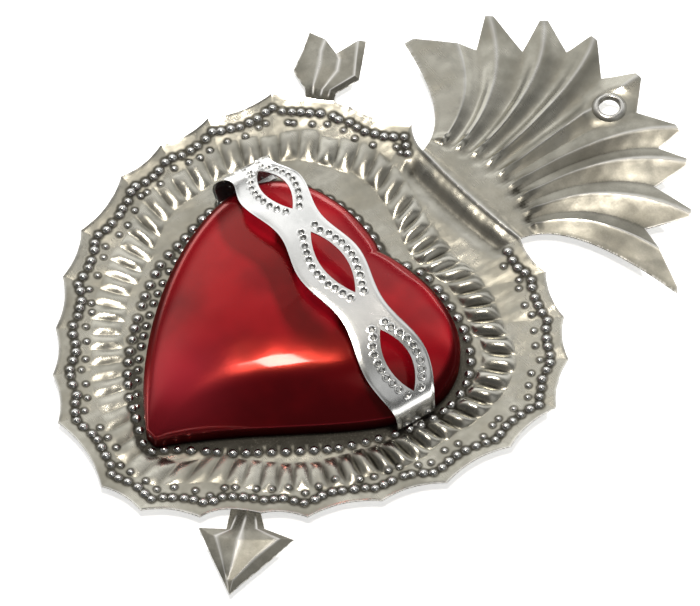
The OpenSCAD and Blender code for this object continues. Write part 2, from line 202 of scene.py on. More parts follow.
class Web:
    """A tree of shader nodes, built from its finished sockets back."""

    def __init__(self, tree):
        self.tree = tree

    def feed(self, node, inputs):
        """Sets or links the sockets of a node, which are given by name or number."""
        for key, value in inputs.items():
            socket = node.inputs[key]
            if isinstance(value, Wire):
                self.tree.links.new(value.socket, socket)
            elif socket.type == "RGBA":
                socket.default_value = (*value, 1)
            else:
                socket.default_value = value

    def add(self, kind, inputs=None, out=0, **settings):
        """Adds a node: its settings first, then the values or links of its sockets, and gives an output."""
        node = self.tree.nodes.new("ShaderNode" + kind)
        for key, value in settings.items():
            setattr(node, key, value)
        self.feed(node, inputs or {})
        return Wire(self, node.outputs[out])

    def math(self, operation, *values, clamp=False):
        return self.add("Math", dict(enumerate(values)), operation=operation, use_clamp=clamp)

    def clip(self, value):
        """A value held between 0 and 1."""
        return self.math("ADD", value, 0.0, clamp=True)

    def step(self, value, low, high):
        """Rises smoothly from 0 at low to 1 at high."""
        return self.add("MapRange", {0: value, 1: low, 2: high}, interpolation_type="SMOOTHSTEP")

    def mix(self, share, a, b):
        """One colour turning into another."""
        return self.add("Mix", {0: share, 6: a, 7: b}, out=2, data_type="RGBA")

    def places(self):
        """Object coordinates in millimetres."""
        where = self.add("TexCoord", out="Object")
        return self.add("VectorMath", {0: where, "Scale": 1000.0}, operation="SCALE")

    def noise(self, where, size, detail=3.0, rough=0.5):
        """Smooth noise from 0 to 1, with features of about that size in millimetres."""
        inputs = {"Vector": where, "Scale": 1 / size, "Detail": detail, "Roughness": rough}
        return self.add("TexNoise", inputs, out="Fac")

    def turned(self, where, degrees, scale):
        """Coordinates turned in the plane of the sheet and stretched along its axes."""
        inputs = {"Vector": where, "Rotation": (0, 0, math.radians(degrees)), "Scale": scale}
        return self.add("Mapping", inputs)

    def mark(self, label):
        """A value that each point of a piece carries."""
        return self.add("Attribute", out="Fac", attribute_name=label)


def finish(name, steady, build):
    """A material whose steady values are set on its shader and whose build gives the varied ones."""
    material = bpy.data.materials.new(name)
    material.use_nodes = True
    web = Web(material.node_tree)
    shader = material.node_tree.nodes["Principled BSDF"]
    web.feed(shader, steady)
    web.feed(shader, build(web))
    return material


def aged_tin(web):
    """Warm grey tin with pale and olive patches, dirt in its hollows and bright worn edges, and painted shade
    and painted highlights where the pieces mark them.
    """
    at = web.places()
    cloud = web.step(web.noise(at, 16, 4, 0.55), 0.36, 0.66)
    patch = web.step(web.noise(at, 5, 5, 0.6), 0.45, 0.72)
    grain = web.noise(at, 0.5, 3, 0.6)
    strokes = web.noise(web.turned(at, 38, (0.35, 4.0, 0.35)), 1.0, 3, 0.6)
    grime_and_shade = web.mark("grime_and_shade")
    wear_and_highlight = web.mark("wear_and_highlight")
    clean = web.mix(cloud, (0.58, 0.56, 0.48), (0.34, 0.325, 0.27))
    stained = web.mix(patch * 0.45, clean, (0.29, 0.285, 0.245))
    dirt_and_shade = web.clip(grime_and_shade * (0.75 + 0.5 * grain) + patch * 0.06)
    # Dirt and painted shade darken the colour; wear and painted highlights lighten it.
    darkened = web.mix(dirt_and_shade, stained, (0.04, 0.037, 0.028))
    colour = web.mix(wear_and_highlight, darkened, (0.82, 0.81, 0.78))
    rough = 0.22 + 0.12 * cloud + 0.1 * (strokes - 0.5) + 0.25 * dirt_and_shade - 0.08 * wear_and_highlight
    height = strokes * 0.4 + grain * 0.6
    normal = web.add("Bump", {"Strength": 0.22, "Distance": 0.00012, "Height": height})
    return {"Base Color": colour, "Roughness": rough, "Metallic": 1 - 0.35 * dirt_and_shade, "Normal": normal}


def polished_tin(web):
    """Punched beads: their tops rubbed bright, with dirt and painted shade in the ring round each."""
    at = web.places()
    grain = web.noise(at, 0.6, 2, 0.5)
    grime_and_shade = web.mark("grime_and_shade")
    dirt_and_shade = web.clip(grime_and_shade * (0.8 + 0.4 * grain))
    colour = web.mix(dirt_and_shade, (0.8, 0.795, 0.77), (0.05, 0.047, 0.04))
    rough = 0.12 + 0.1 * grain + 0.3 * dirt_and_shade
    return {"Base Color": colour, "Roughness": rough, "Metallic": 1 - 0.4 * dirt_and_shade}


def band_tin(web):
    """Newer tin, satin white, with fine strokes along the band and dull dents darkened with painted shade."""
    at = web.places()
    cloud = web.noise(at, 9, 4, 0.55)
    strokes = web.noise(web.turned(at, 7.4, (0.25, 5.0, 0.25)), 1.0, 3, 0.6)
    grain = web.noise(at, 0.4, 2, 0.5)
    grime_and_shade = web.mark("grime_and_shade")
    wear_and_highlight = web.mark("wear_and_highlight")
    clean = web.mix(web.step(cloud, 0.35, 0.7), (0.86, 0.86, 0.84), (0.72, 0.725, 0.71))
    darkened = web.mix(web.clip(grime_and_shade), clean, (0.16, 0.16, 0.15))
    colour = web.mix(wear_and_highlight, darkened, (0.9, 0.9, 0.88))
    rough = 0.15 + 0.12 * cloud + 0.1 * (strokes - 0.5) + 0.15 * grime_and_shade
    height = strokes * 0.5 + grain * 0.5
    normal = web.add("Bump", {"Strength": 0.15, "Distance": 0.0001, "Height": height})
    return {"Base Color": colour, "Roughness": rough, "Normal": normal}


def red_lacquer(web):
    """Clear red lacquer over bright tin: lighter where it is thin or worn and under a painted highlight along
    the near rim, and painted dark with shade along the rest of the rim and the skirt.
    """
    at = web.places()
    cloud = web.step(web.noise(at, 22, 3, 0.5), 0.34, 0.68)
    grain = web.noise(at, 0.35, 3, 0.7)
    grime_and_shade = web.mark("grime_and_shade")
    wear_and_highlight = web.mark("wear_and_highlight")
    thick = web.mix(cloud, (0.245, 0.004, 0.009), (0.125, 0.002, 0.006))
    dark = web.mix(grime_and_shade, thick, (0.035, 0.001, 0.003))
    colour = web.mix(wear_and_highlight * 0.7, dark, (0.5, 0.03, 0.05))
    rough = 0.13 + 0.05 * cloud + 0.04 * grain + 0.4 * grime_and_shade
    normal = web.add("Bump", {"Strength": 0.12, "Distance": 0.00008, "Height": grain})
    return {
        "Base Color": colour,
        "Roughness": rough,
        "Metallic": 0.4 + 0.5 * grime_and_shade,
        "Coat Weight": 0.34 * (1 - grime_and_shade),
        "Normal": normal,
    }


def solder(web):
    """Dull silver solder with a crust of flux."""
    at = web.places()
    crust = web.step(web.noise(at, 0.9, 4, 0.6), 0.4, 0.65)
    colour = web.mix(crust, (0.55, 0.55, 0.53), (0.24, 0.22, 0.17))
    normal = web.add("Bump", {"Strength": 0.3, "Distance": 0.0002, "Height": crust})
    return {"Base Color": colour, "Roughness": 0.3 + 0.3 * crust, "Normal": normal}


TIN = finish("aged_tin", {"Metallic": 1.0}, aged_tin)
BEAD = finish("polished_tin", {"Metallic": 1.0}, polished_tin)
BRIGHT = finish("band_tin", {"Metallic": 0.92}, band_tin)
LACQUER = finish("red_lacquer", {
    "Specular IOR Level": 0.42, "Specular Tint": (1.0, 0.35, 0.1), "Coat Roughness": 0.05,
}, red_lacquer)
SOLDER = finish("solder", {"Metallic": 1.0}, solder)

for name in ("heart_solder", "band_solder"):
    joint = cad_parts[name]
    for place in joint.material_slots:
        place.material = SOLDER

# The heart's outline: a lobe and a flank on each side, straight on the right and full on the left
HEART_CURVES = [
    [(0, 29.6), (8, 34.2), (38.7, 35.6), (38.7, 11.6)],
    [(38.7, 11.6), (38.7, -3.4), (13, -24.4), (1.6, -46.4)],
    [(-1.6, -46.4), (-24, -32.4), (-38.7, -4.4), (-38.7, 11.6)],
    [(-38.7, 11.6), (-38.7, 35.6), (-8, 34.2), (0, 29.6)],
]
LEAN = math.radians(2.3)
HEART_X = 2.4


def heart_outline(n=400):
    """Four cubic curves end to end, turned by the heart's lean and moved to its place."""
    u = np.linspace(0, 1, n, endpoint=False)[:, None]
    v = 1 - u
    line = np.concatenate([
        np.array(p[0]) * v**3 + 3 * np.array(p[1]) * v * v * u
        + 3 * np.array(p[2]) * v * u * u + np.array(p[3]) * u**3
        for p in HEART_CURVES
    ])
    c, s = math.cos(LEAN), math.sin(LEAN)
    return rows(line[:, 0] * c - line[:, 1] * s + HEART_X, line[:, 0] * s + line[:, 1] * c)


OUTLINE = heart_outline()


def reach(centre):
    """The outline's distance from a centre as a function of direction, in degrees."""
    d = OUTLINE - centre
    a = np.degrees(np.arctan2(d[:, 1], d[:, 0])) % 360
    r = np.hypot(d[:, 0], d[:, 1])
    order = np.argsort(a)
    return lambda angle: np.interp(np.asarray(angle) % 360, a[order], r[order], period=360)


heart_r = reach(np.array([0, 0]))

# The scalloped edge: direction and radius of each cusp, and the columns of the three places where it
# runs on into the flames, the feathers and the arrowhead, with how far along the arrow the last two are
CUSPS = [
    (1.5, 59.5), (18, 65), (30.5, 70.5), (42, 70.5), (52, 69), (63.5, 66.5),
    (112.5, 67.5), (127, 67), (144, 69.5), (159, 65), (172, 62.5), (184.5, 61), (202.5, 59),
    (216.5, 58), (231.5, 57.5), (244.5, 59.5), (257, 62.5), (276, 64), (286.5, 63), (299.5, 58),
    (326, 54.5), (345.5, 55),
]
COLS = 204
ARROW = 131.2
NECK_S, FEATHER_S = -53.4, 67.8
FAN_C, FAN_N = 42, 18
FEATHER_C, HEAD_C, ARROW_N = 74, 174, 4


def along_arrow(s, w):
    """Point s along the arrow towards its feathers, and w to the right of its line."""
    return polar(ARROW, s) + polar(ARROW - 90, w)


def edge_corners():
    """Each corner of the edge as (column, x, y), with the columns in order."""
    corners = [(round(a * COLS / 360), *polar(a, r)) for a, r in CUSPS]
    corners += [(FAN_C, 18.1, 61), (FAN_C + FAN_N, -17.8, 59.2)]
    corners.append((FEATHER_C, *along_arrow(FEATHER_S, 0.8)))
    corners.append((FEATHER_C + ARROW_N, *along_arrow(FEATHER_S, -6.6)))
    corners.append((HEAD_C, *along_arrow(NECK_S, -4.8)))
    corners.append((HEAD_C + ARROW_N, *along_arrow(NECK_S, 2.6)))
    return np.array(sorted(corners))


CORNERS = edge_corners()


def edge_xy(t):
    """The edge at column t: a chord from corner to corner, hollowed by a parabola."""
    t = np.asarray(t, float) % COLS
    first = np.searchsorted(CORNERS[:, 0], t, side="right") - 1
    a = CORNERS[first]
    b = CORNERS[(first + 1) % len(CORNERS)]
    span = (b[..., 0] - a[..., 0]) % COLS
    u = ((t - a[..., 0]) % COLS / span)[..., None]
    chord = b[..., 1:] - a[..., 1:]
    plain = np.isin(a[..., 0], [FAN_C, FEATHER_C, HEAD_C])
    sag = np.where(plain, 0.02, 0.085)[..., None]
    inward = rows(-chord[..., 1], chord[..., 0])
    return a[..., 1:] + chord * u + inward * sag * 4 * u * (1 - u)


# The ring of flutes: direction and radius of its middle line
RING = [
    (0, 44.7), (14, 46.8), (23, 50.3), (32, 53), (40, 53.8), (49, 50.7), (60, 48.2), (69, 46.3),
    (76, 43), (85, 42), (92, 43), (101, 46.5), (111, 50.3), (121, 53.2), (137, 54.4), (147, 52.7),
    (159, 52.4), (167, 50.5), (180, 49.6), (186, 48.4), (194, 45.2), (206, 44.4), (228, 45),
    (241, 45.1), (252, 46.9), (263, 49), (268, 51.2), (278, 52.2), (287, 49.9), (294, 44.6),
    (299, 42.8), (325, 42.4), (345, 43),
]
FLUTES = 68


def around(pairs, a):
    """A value given at some directions, drawn smoothly through them all the way round."""
    knots = np.array(pairs, float)
    raw = np.interp(np.arange(0, 360, 1.0), knots[:, 0], knots[:, 1], period=360)
    soft = sum(np.roll(raw, k) * w for k, w in zip((-2, -1, 0, 1, 2), (1, 2, 3, 2, 1))) / 9
    return np.interp(np.asarray(a) % 360, np.arange(0, 360, 1.0), soft, period=360)


FLUTE_H = 1.25 * HAND.uniform(0.8, 1.15, FLUTES)
FLUTE_L = HAND.uniform(0.9, 1.06, FLUTES)
FLUTE_R = HAND.uniform(-0.5, 0.5, FLUTES)
FLUTE_DEPTH = [
    (0, 1.2), (50, 1.1), (80, 0.9), (120, 0.7), (165, 0.62), (235, 0.45), (255, 0.36), (300, 0.42),
    (325, 0.62), (345, 1.0),
]


def flutes(a, r, half):
    """Raised ovals side by side: each a cosine ridge across, whose height falls to nothing at its
    ends and which is pressed deeper on the right of the plate than on the left."""
    k = (a / (360 / FLUTES)).astype(int) % FLUTES
    across = (a / (360 / FLUTES)) % 1 * 2 - 1
    along = (r - around(RING, a) - FLUTE_R[k]) / (half * FLUTE_L[k])
    ends = np.clip(1 - np.abs(along) ** 2.6, 0, 1)
    return FLUTE_H[k] * around(FLUTE_DEPTH, a) * np.cos(np.pi / 2 * across) * ends


def in_fan(t):
    """1 along the part of the edge that runs on into the flames, and 0 elsewhere."""
    t = t % COLS
    entered = smooth(t, FAN_C - 1.5, FAN_C + 0.5)
    left = smooth(t, FAN_C + FAN_N - 0.5, FAN_C + FAN_N + 1.5)
    return entered * (1 - left)


# The plate's relief: how far its dish rises, how long the flutes may be to each side of their middle,
# the room they leave at the heart and at the edge, and the valley's place, depth and width
DISH_RISE = 2.2
FLUTE_HALF = 4.4
HEART_GAP, EDGE_GAP = 1.2, 5.3
VALLEY_INSET, VALLEY_DEPTH, VALLEY_W = 5.7, 1.2, 2.3


def plate_height(x, y, t):
    """The pressed face of the plate over its back: a shallow dish, the ring of flutes, the lip along
    the edge, the chased valley and crease before the flames, and the dents of hand work."""
    a = np.degrees(np.arctan2(y, x)) % 360
    r = np.hypot(x, y)
    er = np.hypot(*np.moveaxis(edge_xy(t), -1, 0))
    mid = around(RING, a)
    half = np.minimum(FLUTE_HALF, np.minimum(mid - heart_r(a) - HEART_GAP, er - EDGE_GAP - mid))
    flat = mid - half
    share = np.clip((r - flat) / (er - flat), 0, 1)
    z = SHEET + DISH_RISE * share**1.5
    z = z + flutes(a, r, half)
    inset = er - r
    valley = VALLEY_DEPTH * bump(inset, VALLEY_INSET, VALLEY_W)
    z = z + in_fan(t) * (0.3 * bump(inset, 0, 0.7) - valley)
    z = z + (1 - in_fan(t)) * 0.1 * bump(inset, 0, 0.45)
    free = smooth(r - heart_r(a), 1.5, 4)
    z = z + 0.13 * ripple(x, y, 9, 3) * free
    z = z + 0.045 * ripple(x, y, 3, 4) * free
    return np.maximum(z, 0.3)


def walk(line, pitch, jitter=0.0):
    """Points at an even pitch along a line, each moved a little."""
    step = np.hypot(*np.diff(line, axis=0).T)
    run = np.concatenate([[0], np.cumsum(step)])
    at = np.arange(pitch / 2, run[-1], pitch)
    at = at + HAND.uniform(-jitter, jitter, len(at))
    return rows(np.interp(at, run, line[:, 0]), np.interp(at, run, line[:, 1]))


def inset_edge(first, last, depth):
    """The edge from one column to another, moved in towards the middle of the plate."""
    e = edge_xy(np.linspace(first, last, int(abs(last - first) * 6)))
    r = np.hypot(e[:, 0], e[:, 1])[:, None]
    return e * (1 - depth / r)


def ring_line(first, last, offset):
    """A line outside the heart from one direction to another, at an offset that follows a list."""
    a = np.linspace(first, last, int(abs(last - first) * 2))
    return polar(a, heart_r(a) + around(offset, a))


INNER = [
    (0, 3), (20, 2.6), (45, 2.6), (60, 3), (74, 4.4), (82, 3.6), (90, 1.6), (97, 1.4), (104, 2.4),
    (115, 2.4), (150, 2.4), (170, 2.6), (186, 3.1), (198, 4.8), (215, 5), (245, 5), (258, 4),
    (266, 2), (274, 1.2), (280, 1.4), (288, 3.4), (300, 4.7), (340, 4.7),
]
beads_outer = walk(inset_edge(FAN_C + FAN_N + 1, COLS + FAN_C - 0.5, 4.0), 2.55, 0.25)
beads_inner = walk(ring_line(0, 360, INNER), 3.3, 0.4)
# Painted shade on the plate beside the heart's rim, by direction round it
SEAT_SHADE = [(0, 1), (110, 0.9), (140, 0.5), (200, 0.4), (245, 0.5), (262, 1), (320, 1)]
small_outer = walk(inset_edge(FAN_C + FAN_N + 2, COLS + FAN_C - 2, 7.0), 4.2, 1.2)
small_inner = walk(ring_line(118, 262, [(0, 2), (180, 1.6), (215, 2.3), (245, 2.3), (262, 2)]), 3.3, 0.4)
beads_outer += HAND.uniform(-0.25, 0.25, beads_outer.shape)
small_outer += HAND.uniform(-0.35, 0.35, small_outer.shape)


def stamped(x, y, centres, size, shape):
    """Adds up one round mark at each centre: shape gives its value at a share of its size."""
    z = np.zeros(x.shape)
    for cx, cy in centres:
        near = (np.abs(x - cx) < size * 1.6) & (np.abs(y - cy) < size * 1.6)
        z[near] += shape(np.hypot(x[near] - cx, y[near] - cy) / size)
    return z


def bead_foot_dirt_and_shade(d):
    """Dirt and painted shade round the foot of a bead."""
    return 0.9 * bump(d, 0.98, 0.38)


def plate_grid(s, per_col):
    """Points of the plate's face: from the heart's rim straight out to the edge, at shares s."""
    t = np.linspace(0, COLS, COLS * per_col + 1)[None, :]
    a = t * 360 / COLS
    inner = polar(a, heart_r(a) - 2.5)
    p = inner * (1 - s[:, None, None]) + edge_xy(t) * s[:, None, None]
    x, y = p[..., 0], p[..., 1]
    z = plate_height(x, y, np.broadcast_to(t, x.shape))
    return rows(x, y, z)


def dome(centre, z, radius, height, sides=12):
    """A punched bead: the upper half of a flattened ball on the sheet, in six rings of points."""
    up = np.radians([0, 16, 36, 58, 76, 90])
    around_it = np.radians(np.linspace(0, 360, sides + 1))
    ring = radius * np.cos(up)[:, None]
    grid = rows(
        centre[0] + ring * np.cos(around_it),
        centre[1] + ring * np.sin(around_it),
        z + height * np.sin(up)[:, None] + 0 * around_it,
    )
    # Dirt and painted shade darken the bead's foot
    dirt_and_shade = np.array([1, 0.5, 0.05, 0, 0, 0])[:, None] + 0 * around_it
    return grid[::-1], dirt_and_shade[::-1]


# The plate, in two rings so that each stays light, and its back
PER_COL = 7
PLATE_REACH = 22
shares = np.linspace(0, 1, 121)
face = plate_grid(shares, PER_COL)
grime_and_shade = hollows(face, 6, 0.42, wrap=True)
face_a = np.degrees(np.arctan2(face[..., 1], face[..., 0])) % 360
beside = np.hypot(face[..., 0], face[..., 1]) - heart_r(face_a)
# Painted shade beside the heart, then dirt and painted shade round each bead
grime_and_shade = grime_and_shade + around(SEAT_SHADE, face_a) * (1 - smooth(beside, 2.4, 4.6))
for centres, size in ((beads_outer, 1.25), (beads_inner, 1.3), (small_outer, 0.9), (small_inner, 0.9)):
    grime_and_shade = grime_and_shade + stamped(face[..., 0], face[..., 1], centres, size, bead_foot_dirt_and_shade)
t_face = np.linspace(0, COLS, COLS * PER_COL + 1)[None, :] + 0 * shares[:, None]
# The raised parts are drawn lighter, and the outer edge carries wear and a painted highlight
ridge = face.copy()
ridge[..., 2] *= -1
wear_and_highlight = 0.5 * hollows(ridge, 5, 0.5, wrap=True)
# Painted shade in the chased valley before the flames
grime_and_shade = grime_and_shade + 0.4 * in_fan(t_face) * bump((1 - shares[:, None]) * PLATE_REACH, 5.2, 1.8)
wear_and_highlight = np.maximum(wear_and_highlight, 0.75 * bump(shares[:, None], 1, 0.012) + 0 * t_face)
grime_and_shade = np.clip(grime_and_shade, 0, 1)
HALF = 60
make("plate_inner_face", [(face[:HALF + 1], grime_and_shade[:HALF + 1], wear_and_highlight[:HALF + 1])], "backing_sheet", TIN)
edge_line = face[-1]
free_edges = []
starts = (0, FAN_C + FAN_N, FEATHER_C + ARROW_N, HEAD_C + ARROW_N)
for first, last in zip(starts, (FAN_C, FEATHER_C, HEAD_C, COLS)):
    # Painted shade darkens each cut edge towards its foot, under a lighter lip of wear and painted highlight
    cut = rim(edge_line[first * PER_COL:last * PER_COL + 1])
    free_edges.append((cut, np.array([[0.5], [0.9]]), np.array([[0.3], [0.0]])))
make("plate_outer_face", [(face[HALF:], grime_and_shade[HALF:], wear_and_highlight[HALF:]), *free_edges], None, TIN)
back = face[::4, ::2]
middle = np.stack([back[0] * 0 + [0, 0, SHEET], back[0]])
make("plate_back", [(lowered(middle), 0.2), (lowered(back), 0.25)], None, TIN)

dots = []
for centres, radius in ((beads_outer, 1.1), (beads_inner, 1.15), (small_outer, 0.75), (small_inner, 0.8)):
    a = np.degrees(np.arctan2(centres[:, 1], centres[:, 0])) % 360
    level = plate_height(centres[:, 0], centres[:, 1], a * COLS / 360)
    for c, z in zip(centres, level):
        size = radius * HAND.uniform(0.88, 1.1)
        dots.append(dome(c, z - 0.15, size, size * 0.78))
make("beads", dots, None, BEAD)

# The flames, from right to left: where each fold ends, and which way it is bent. Even folds are
# grooves that end in a notch, and odd ones ridges that end in a blunt tip
FAN_ENDS = [
    (55.8, 80.2), (43.1, 85.3), (36.1, 87.1), (40.5, 98.5), (28.2, 97.3), (28.4, 108),
    (20.2, 105.9), (19.1, 113.3), (8.5, 108.9), (0.8, 116.3), (-5.3, 109), (-15.3, 115.3), (-17.3, 107.6),
    (-27.8, 108.9), (-24.7, 98.9), (-38, 98.9), (-32.7, 90), (-36.7, 87), (-45.8, 77.8),
]
TIP_W = 1.1
FAN_FOOT_Z = 2.7
HOLE = np.array([3.0, 104.3])
HOLE_R = 2.7
FOLDS = np.array([0, 1, -1, 1, -1, 1, -1, 1, -1, 1, -1, 1, -1, 1, -1, 1, -1, 1, 0.0])


def fan_edge(q):
    """The flames' outer edge at fold q: straight from notch to tip, each tip cut off blunt."""
    knots = [(0, *FAN_ENDS[0]), (0.12, FAN_ENDS[0][0] - 1.3, FAN_ENDS[0][1] + 1.2)]
    for k in range(1, FAN_N):
        here = np.array(FAN_ENDS[k])
        if k in (1, 2, 17) or k % 2 == 0:
            knots.append((k, *here))
        else:
            along = np.array(FAN_ENDS[k + 1]) - np.array(FAN_ENDS[k - 1])
            along = along / np.hypot(*along) * TIP_W
            knots += [(k - 0.1, *(here - along)), (k + 0.1, *(here + along))]
    last_x, last_y = FAN_ENDS[FAN_N]
    knots += [(FAN_N - 0.12, last_x + 0.3, last_y + 1.6), (FAN_N, last_x, last_y - 1.2)]
    knots = np.array(knots)
    return rows(np.interp(q, knots[:, 0], knots[:, 1]), np.interp(q, knots[:, 0], knots[:, 2]))


def fan_grid(v, q):
    """Points of the flames: folds that rise from the foot and bend out on quadratic curves. They
    swell from a smooth foot, are crisp on the right and rounder on the left, and lie flat round
    the hanging hole."""
    foot = edge_xy(FAN_C + q)
    end = fan_edge(q)
    bend = rows(foot[:, 0] + 0.08 * (end[:, 0] - foot[:, 0]), foot[:, 1] * 0.28 + end[:, 1] * 0.72)
    v = v[:, None, None]
    p = foot * (1 - v) ** 2 + bend * 2 * v * (1 - v) + end * v * v
    x, y = p[..., 0], p[..., 1]
    v = v[..., 0]
    tri = np.interp(q, range(FAN_N + 1), FOLDS)
    crisp = 1 - smooth(q, 7, 11) * 0.75
    fold = np.sin(np.pi / 2 * tri) * (1 - crisp) + tri * crisp
    crest = np.where(FOLDS[np.round(q).astype(int)] > 0, bump(q - np.round(q), 0, 0.07), 0)
    swell = smooth(v, 0.09, 0.17)
    bulb = 0.45 * bump(v, 0.175, 0.035) * np.clip(fold, 0, 1)
    calm = smooth(np.hypot(x - HOLE[0], y - HOLE[1]), 3.6, 7.5)
    depth = 0.92 - 0.25 * v * (1 - smooth(q, 8, 12))
    depth = depth * (0.5 + 0.5 * smooth(v, 0.15, 0.6)) * (1 - 0.2 * smooth(q, 7, 11))
    relief = fold * depth + 0.12 * crest * (1 - crisp * 0.5) + bulb
    z = FAN_FOOT_Z + np.sin(np.pi / 2 * v) + calm * swell * relief
    z = z + 0.3 * bump(v, 0, 0.015) + 0.2 * smooth(v, 0, 0.04) * (1 - smooth(v, 0.09, 0.13))
    z = z + (0.13 * ripple(x, y, 11, 5) + 0.05 * ripple(x, y, 4, 6)) * smooth(v, 0, 0.2)
    return rows(x, y, z)


fan_v = np.linspace(0, 1, 201)
fan_q = np.linspace(0, FAN_N, FAN_N * 20 + 1)
flames = fan_grid(fan_v, fan_q)
open_cell = np.hypot(flames[:-1, :-1, 0] - HOLE[0], flames[:-1, :-1, 1] - HOLE[1]) > HOLE_R + 0.7
in_groove = np.interp(fan_q, range(FAN_N + 1), FOLDS) < 0
# Patina in the hollows, with painted shade over the right-hand flames and at the foot of each groove
fan_dirt_and_shade = 0.45 * (1 - smooth(fan_q, 6, 10)) + 0.55 * hollows(flames, 7, 0.5)
fan_dirt_and_shade = np.clip(fan_dirt_and_shade + 0.5 * bump(fan_v[:, None], 0.15, 0.03) * in_groove, 0, 1)
# The ridge crests, the tips and the foot crease are drawn lighter, as wear and painted highlight
on_ridge = FOLDS[np.round(fan_q).astype(int)] > 0
crest_wear_and_highlight = 0.55 * np.where(on_ridge, bump(fan_q - np.round(fan_q), 0, 0.05), 0)
fan_wear_and_highlight = crest_wear_and_highlight[None, :] * smooth(fan_v, 0.1, 0.2)[:, None]
fan_wear_and_highlight = np.maximum(fan_wear_and_highlight, 0.7 * bump(fan_v, 1, 0.006)[:, None])
fan_wear_and_highlight = np.maximum(fan_wear_and_highlight, 0.8 * bump(fan_v, 0, 0.006)[:, None])
below = flames[::4, ::4]
below_open = np.hypot(below[:-1, 1:, 0] - HOLE[0], below[:-1, 1:, 1] - HOLE[1]) > HOLE_R + 0.9
# Cut edges: painted shade darker towards the foot, and a lighter lip of wear and painted highlight
cut_edge_shade_and_highlight = (np.array([[0.2], [0.8]]), np.array([[0.6], [0.0]]))
make("flames", [
    (flames, fan_dirt_and_shade, fan_wear_and_highlight, open_cell),
    (lowered(below), 0.25, 0.0, below_open[:, ::-1]),
    (rim(flames[:, 0]), *cut_edge_shade_and_highlight),
    (rim(flames[-1]), *cut_edge_shade_and_highlight),
    (rim(flames[::-1, -1]), *cut_edge_shade_and_highlight),
], None, TIN)

# The raised collar round the hanging hole, with painted shade in its bore and a painted highlight on its lip
turns = np.radians(np.linspace(0, 360, 65))
fan_z = 3.7
collar = np.array([
    (4.6, -0.75), (4.5, 0.0), (4.2, 0.22), (3.8, 0.5), (3.45, 0.66), (3.1, 0.66), (2.85, 0.55),
    (2.72, 0.3), (2.7, 0), (2.72, -0.85), (3.4, -0.95), (4.6, -0.75),
])
ring = rows(
    HOLE[0] + collar[:, :1] * np.cos(turns),
    HOLE[1] + collar[:, :1] * np.sin(turns),
    fan_z + collar[:, 1:] + 0 * turns,
)
collar_shade = np.array([0, 0.1, 0.35, 0.1, 0, 0, 0, 0.6, 0.9, 0.6, 0.2, 0])[:, None] + 0 * turns
collar_highlight = np.array([0, 0, 0.1, 0.4, 0.7, 0.6, 0.3, 0, 0, 0, 0, 0])[:, None] + 0 * turns
make("hole_collar", [(ring[::-1], collar_shade[::-1], collar_highlight[::-1])], None, TIN)

# The ends of the arrow, folded from flat tabs: rows of corners as (along, across, height)
TAB_CREASE = 25
HEAD = [
    [(NECK_S, -4.8, 2.7), (NECK_S, -2.8, 2.75), (NECK_S, -0.6, 3.2), (NECK_S, 1.2, 2.75), (NECK_S, 2.6, 2.7)],
    [(-59.0, -4.9, 2.6), (-59.0, -3.9, 2.8), (-59.0, -1.0, 3.9), (-58.0, 2.4, 3.0), (-57.5, 4.2, 2.6)],
    [(-59.5, -11.6, 2.2), (-61.5, -7.1, 3.1), (-62.2, -1.3, 4.3), (-60.0, 8.2, 3.4), (-59.2, 11.6, 2.3)],
    [(-67.5, -6.6, 2.2), (-66.5, -4.9, 3.0), (-67.5, -1.6, 4.2), (-66.2, 3.3, 3.5), (-67.2, 5.6, 2.3)],
    [(-73.2, -2.9, 2.2), (-72.6, -2.5, 2.9), (-73.2, -2.1, 3.6), (-72.8, -0.9, 3.4), (-74.3, 0.1, 2.3)],
    [(-75.5, -1.5, 2.2), (-75.7, -1.4, 2.3), (-75.9, -1.3, 2.5), (-76.0, -1.2, 2.4), (-75.9, -1.0, 2.3)],
]
FEATHERS = [
    [
        (FEATHER_S, 0.8, 2.7), (FEATHER_S, -1.0, 2.8), (FEATHER_S, -2.9, 3.1), (FEATHER_S, -4.8, 2.8),
        (FEATHER_S, -6.6, 2.7),
    ],
    [(70.6, 0.9, 2.6), (70.6, -0.6, 3.6), (70.8, -2.7, 2.9), (71.4, -5.2, 3.4), (70.8, -7.3, 2.6)],
    [(75.7, 6.1, 2.4), (75.9, 4.9, 3.6), (77.0, 0.1, 3.1), (78.0, -4.6, 3.7), (75.6, -11.1, 2.5)],
    [(82.0, 6.1, 2.9), (81.6, 4.4, 3.4), (80.8, 0.1, 2.8), (82.2, -4.9, 3.8), (82.7, -9.6, 2.7)],
    [(87.2, 6.1, 3.2), (87.3, 4.1, 3.3), (82.4, -1.0, 3.0), (86.0, -4.4, 3.6), (87.8, -8.9, 3.1)],
]


def folded(corners, fine, seed):
    """A folded tab: its facets between the corners, gently dented."""
    g = refined(corners, fine, fine)
    xy = along_arrow(g[..., 0], g[..., 1])
    z = g[..., 2] + 0.05 * ripple(xy[..., 0], xy[..., 1], 5, seed)
    return rows(xy[..., 0], xy[..., 1], z)


